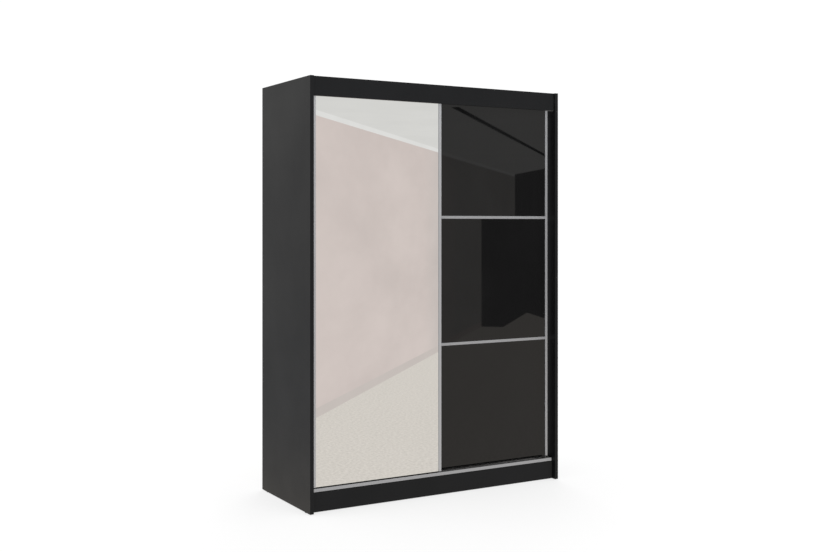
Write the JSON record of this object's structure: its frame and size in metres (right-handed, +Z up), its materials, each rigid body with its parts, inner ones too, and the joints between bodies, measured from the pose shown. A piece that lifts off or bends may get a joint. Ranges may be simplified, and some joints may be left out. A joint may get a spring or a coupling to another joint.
{
  "type": "sliding door wardrobe",
  "caption": "Black board wardrobe with a mirrored front door and a black glass rear door that roll past each other in aluminium tracks, with shelves and a hanging rail inside.",
  "frame": {"origin": "on the floor, under the middle of the case's bounding box", "axes": "+Z up, -Y out of the doors towards the user, +X to the user's right when facing the doors"},
  "size_m": [1.5, 0.605, 2.13],
  "materials": {
    "black_board": "satin melamine film, black",
    "inner_board": "fine-grained melamine film, dark graphite",
    "hardboard": "hardboard, black lacquered inside and raw brown outside",
    "door_board": "melamine film, dark graphite",
    "aluminium": "satin anodised",
    "zinc_steel": "bright zinc plated",
    "cast_socket": "die cast, nickel plated",
    "nickel_pin": "nickel plated",
    "chrome_rail": "polished chrome",
    "beech": "bare fluted beech",
    "black_plastic": "moulded black",
    "nylon_wheel": "moulded natural nylon",
    "brush_pile": "dense grey-black pile",
    "mirror_glass": "silvered float glass",
    "black_glass": "float glass painted black behind"
  },
  "bodies": {
    "carcass": {"side_panel_left": "black_board", "side_panel_right": "black_board", "top_panel": "black_board", "bottom_panel": "black_board", "centre_partition": "inner_board", "top_fascia": "black_board", "front_plinth": "black_board", "rear_plinth": "black_board", "plinth_brace": "black_board", "back_panel_left": "hardboard", "back_panel_right": "hardboard", "upper_track": "aluminium", "lower_track": "aluminium", "track_stops": "black_plastic", "track_screws": "zinc_steel", "hat_shelf_left": "inner_board", "hat_shelf_right": "inner_board", "loose_shelf_1": "inner_board", "loose_shelf_2": "inner_board", "loose_shelf_3": "inner_board", "loose_shelf_4": "inner_board", "shelf_pins": "nickel_pin", "hanging_rail": "chrome_rail", "rail_sockets": "cast_socket", "cam_locks": "cast_socket", "cam_bolts": "zinc_steel", "dowels": "beech", "back_nails": "zinc_steel", "corner_brackets": "zinc_steel", "wall_brackets": "zinc_steel", "bracket_screws": "zinc_steel", "floor_glides": "black_plastic"},
    "mirror_door": {"mirror_door_board": "door_board", "mirror_pane": "mirror_glass", "mirror_door_stile_left": "aluminium", "mirror_door_stile_right": "aluminium", "mirror_door_housings": "black_plastic", "mirror_door_axles": "zinc_steel", "mirror_door_guides": "black_plastic", "mirror_door_screws": "zinc_steel", "mirror_door_brush": "brush_pile"},
    "black_door": {"black_door_board": "door_board", "black_glass_top": "black_glass", "black_glass_middle": "black_glass", "black_glass_bottom": "black_glass", "divider_strip_upper": "aluminium", "divider_strip_lower": "aluminium", "black_door_stile_left": "aluminium", "black_door_stile_right": "aluminium", "black_door_housings": "black_plastic", "black_door_axles": "zinc_steel", "black_door_guides": "black_plastic", "black_door_screws": "zinc_steel", "black_door_brush": "brush_pile"},
    "mirror_wheel_left": {"mirror_door_wheel_left": "nylon_wheel"},
    "mirror_wheel_right": {"mirror_door_wheel_right": "nylon_wheel"},
    "black_wheel_left": {"black_door_wheel_left": "nylon_wheel"},
    "black_wheel_right": {"black_door_wheel_right": "nylon_wheel"}
  },
  "joints": [
    {"name": "mirror_door_slide", "type": "slide", "parent": "carcass", "child": "mirror_door", "axis": [1, 0, 0], "range_m": [-0.01, 0.714]},
    {"name": "black_door_slide", "type": "slide", "parent": "carcass", "child": "black_door", "axis": [-1, 0, 0], "range_m": [0, 0.724]},
    {"name": "mirror_wheel_left_roll", "type": "hinge", "parent": "mirror_door", "child": "mirror_wheel_left", "pos_m": [-0.659, -0.2455, 0.1296], "axis": [0, 1, 0], "continuous": true},
    {"name": "mirror_wheel_right_roll", "type": "hinge", "parent": "mirror_door", "child": "mirror_wheel_right", "pos_m": [-0.045, -0.2455, 0.1296], "axis": [0, 1, 0], "continuous": true},
    {"name": "black_wheel_left_roll", "type": "hinge", "parent": "black_door", "child": "black_wheel_left", "pos_m": [0.055, -0.2105, 0.1296], "axis": [0, 1, 0], "continuous": true},
    {"name": "black_wheel_right_roll", "type": "hinge", "parent": "black_door", "child": "black_wheel_right", "pos_m": [0.669, -0.2105, 0.1296], "axis": [0, 1, 0], "continuous": true}
  ],
  "couplings": [
    {"joint": "mirror_wheel_left_roll", "follows": "mirror_door_slide", "rad_per_m": 92.593},
    {"joint": "mirror_wheel_right_roll", "follows": "mirror_door_slide", "rad_per_m": 92.593},
    {"joint": "black_wheel_left_roll", "follows": "black_door_slide", "rad_per_m": -92.593},
    {"joint": "black_wheel_right_roll", "follows": "black_door_slide", "rad_per_m": -92.593}
  ]
}
